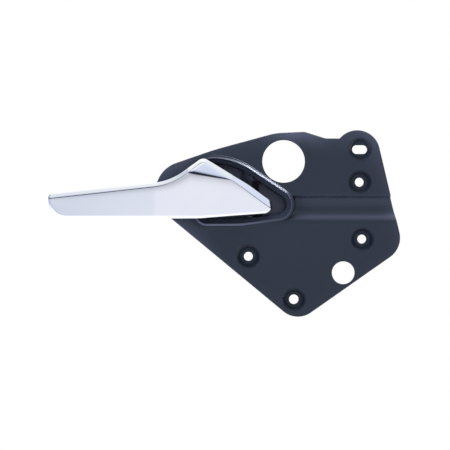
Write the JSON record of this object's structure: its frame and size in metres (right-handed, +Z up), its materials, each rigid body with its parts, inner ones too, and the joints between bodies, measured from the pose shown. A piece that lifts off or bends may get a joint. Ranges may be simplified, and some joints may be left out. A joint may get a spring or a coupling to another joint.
{
  "type": "car interior door handle",
  "caption": "Interior door handle: a moulded plate with a pocket, screw holes and a cable post, and a plated pull lever that turns in the pocket.",
  "frame": {"origin": "centre of the lowest screw hole, on the plane where the plate's bosses seat on the door", "axes": "+X to the right as seen by the person who pulls the lever, +Y into the door, +Z up; the front faces -Y"},
  "size_m": [0.2091, 0.0559, 0.112],
  "materials": {
    "plate_plastic": "satin moulded, fine grain, blue-black",
    "chrome": "polished chrome plating",
    "core_plastic": "moulded black",
    "steel": "zinc plated",
    "bush": "natural acetal",
    "rubber": "matt"
  },
  "bodies": {
    "plate": {"mounting_plate": "plate_plastic", "pivot_pin": "steel", "pin_clip": "steel", "return_spring": "steel", "rest_buffer": "rubber", "pull_buffer": "rubber"},
    "lever": {"lever_blade": "chrome", "lever_core": "core_plastic", "blade_screw_tip": "steel", "blade_screw_grip": "steel", "blade_screw_root": "steel", "upper_bush": "bush", "lower_bush": "bush"}
  },
  "joints": [
    {"name": "lever_pull", "type": "hinge", "parent": "plate", "child": "lever", "pos_m": [-0.026, 0.004, 0.0605], "axis": [0, 0, 1], "range_deg": [0, 24], "stiffness_Nm_per_rad": 1, "springref_deg": -28.65, "deforming": ["return_spring"]}
  ]
}
